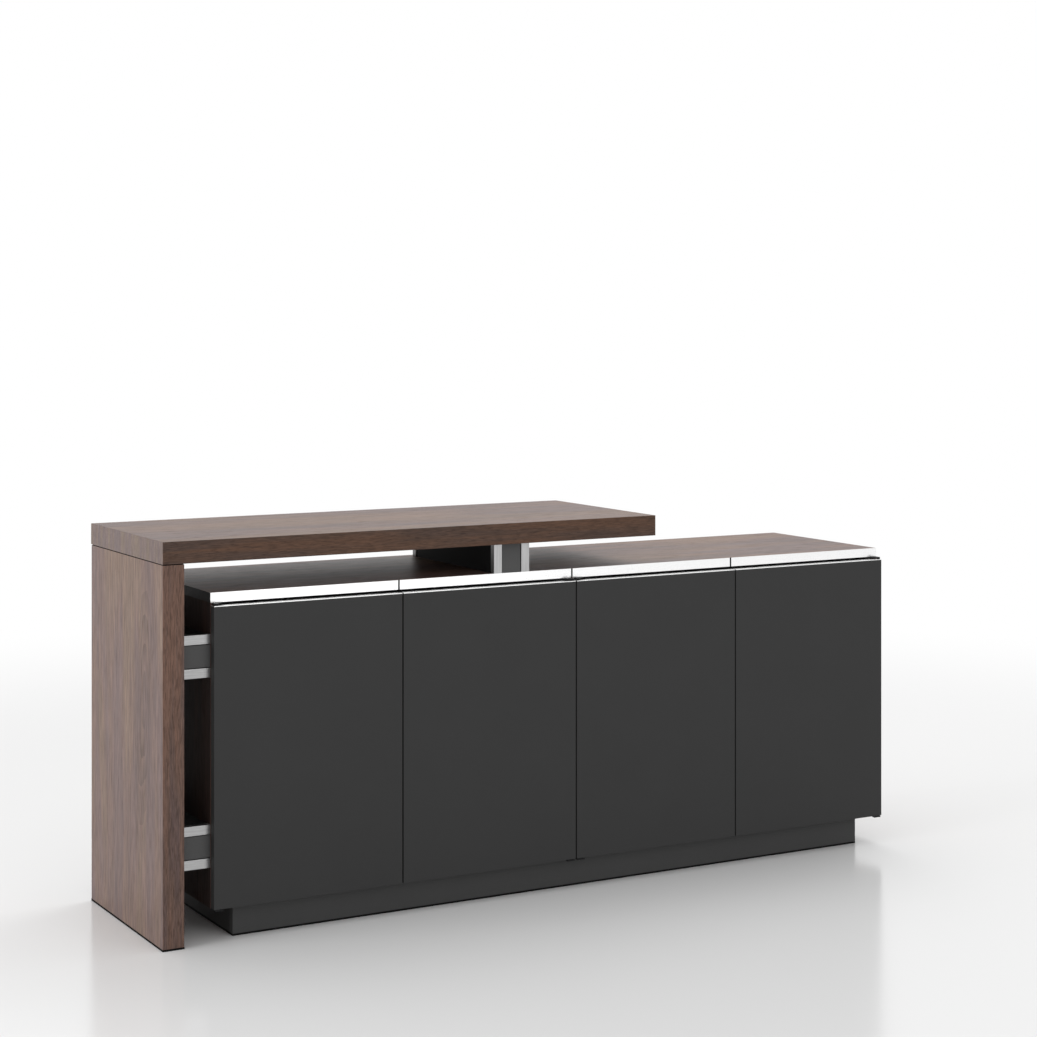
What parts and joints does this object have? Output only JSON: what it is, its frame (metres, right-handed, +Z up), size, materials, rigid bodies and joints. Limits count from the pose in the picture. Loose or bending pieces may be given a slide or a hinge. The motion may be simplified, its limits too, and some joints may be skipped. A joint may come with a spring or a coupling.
{
  "type": "four-door filing cabinet",
  "caption": "Long low filing cabinet with flat charcoal doors on pivot hinges, bridged by a thick walnut side panel and cantilevered top on boxed aluminium-edged connectors.",
  "frame": {"origin": "on the floor under the middle of the whole unit", "axes": "+X to the right seen from the front, +Y to the back, +Z up; the doors face -Y"},
  "size_m": [2, 0.49, 0.9],
  "materials": {
    "walnut_top": "walnut woodgrain laminate, paler top face, satin",
    "walnut_side": "walnut woodgrain laminate, upright grain, satin",
    "walnut_edge": "walnut woodgrain edging, satin",
    "walnut_carcass": "dark walnut woodgrain laminate on board, satin",
    "beech": "plain beech dowel",
    "charcoal_board": "charcoal laminate on board, matt",
    "plinth_board": "charcoal laminate on board, matt",
    "aluminium": "anodised extrusion, satin silver",
    "sleeve_steel": "powder-coated sheet steel, dark grey",
    "bracket_steel": "blackened steel",
    "bright_steel": "zinc-plated steel",
    "nylon": "natural nylon",
    "rubber": "soft bumper",
    "black_plastic": "black moulded plastic"
  },
  "bodies": {
    "unit": {"bridge_top": "walnut_top", "bridge_top_edging": "walnut_edge", "gable_panel": "walnut_side", "gable_edging": "walnut_edge", "gable_foot_strip": "black_plastic", "gable_dowels": "beech", "post_sleeve": "sleeve_steel", "post_profiles": "aluminium", "side_connector_sleeves": "sleeve_steel", "side_connector_profiles": "aluminium", "connector_screws": "bright_steel", "cabinet_top": "walnut_top", "left_side": "walnut_carcass", "right_side": "walnut_carcass", "centre_partition": "walnut_carcass", "cabinet_bottom": "walnut_carcass", "cabinet_backs": "walnut_carcass", "carcass_dowels": "beech", "edge_strips": "aluminium", "front_rails": "plinth_board", "recess_boards": "plinth_board", "rail_screws": "bright_steel", "plinth_front": "plinth_board", "plinth_back": "plinth_board", "plinth_ends": "plinth_board", "plinth_foot_strips": "black_plastic", "shelf_left": "walnut_carcass", "shelf_right": "walnut_carcass", "shelf_pegs": "bright_steel", "bottom_brackets": "bracket_steel", "top_brackets": "bracket_steel", "pivot_pins": "bright_steel", "bracket_screws": "bright_steel", "catch_magnets": "black_plastic"},
    "door_1": {"door_1_panel": "charcoal_board", "door_1_cap": "aluminium", "door_1_plates": "bright_steel", "door_1_bushes": "nylon", "door_1_screws": "bright_steel", "door_1_bumpers": "rubber"},
    "door_2": {"door_2_panel": "charcoal_board", "door_2_cap": "aluminium", "door_2_plates": "bright_steel", "door_2_bushes": "nylon", "door_2_screws": "bright_steel", "door_2_bumpers": "rubber"},
    "door_3": {"door_3_panel": "charcoal_board", "door_3_cap": "aluminium", "door_3_plates": "bright_steel", "door_3_bushes": "nylon", "door_3_screws": "bright_steel", "door_3_bumpers": "rubber"},
    "door_4": {"door_4_panel": "charcoal_board", "door_4_cap": "aluminium", "door_4_plates": "bright_steel", "door_4_bushes": "nylon", "door_4_screws": "bright_steel", "door_4_bumpers": "rubber"}
  },
  "joints": [
    {"name": "door_1_swing", "type": "hinge", "parent": "unit", "child": "door_1", "pos_m": [-0.87, -0.233, 0.41], "axis": [0, 0, -1], "range_deg": [0, 90]},
    {"name": "door_2_swing", "type": "hinge", "parent": "unit", "child": "door_2", "pos_m": [0.053, -0.233, 0.41], "axis": [0, 0, 1], "range_deg": [0, 90]},
    {"name": "door_3_swing", "type": "hinge", "parent": "unit", "child": "door_3", "pos_m": [0.07, -0.233, 0.41], "axis": [0, 0, -1], "range_deg": [0, 90]},
    {"name": "door_4_swing", "type": "hinge", "parent": "unit", "child": "door_4", "pos_m": [0.993, -0.233, 0.41], "axis": [0, 0, 1], "range_deg": [0, 90]}
  ]
}
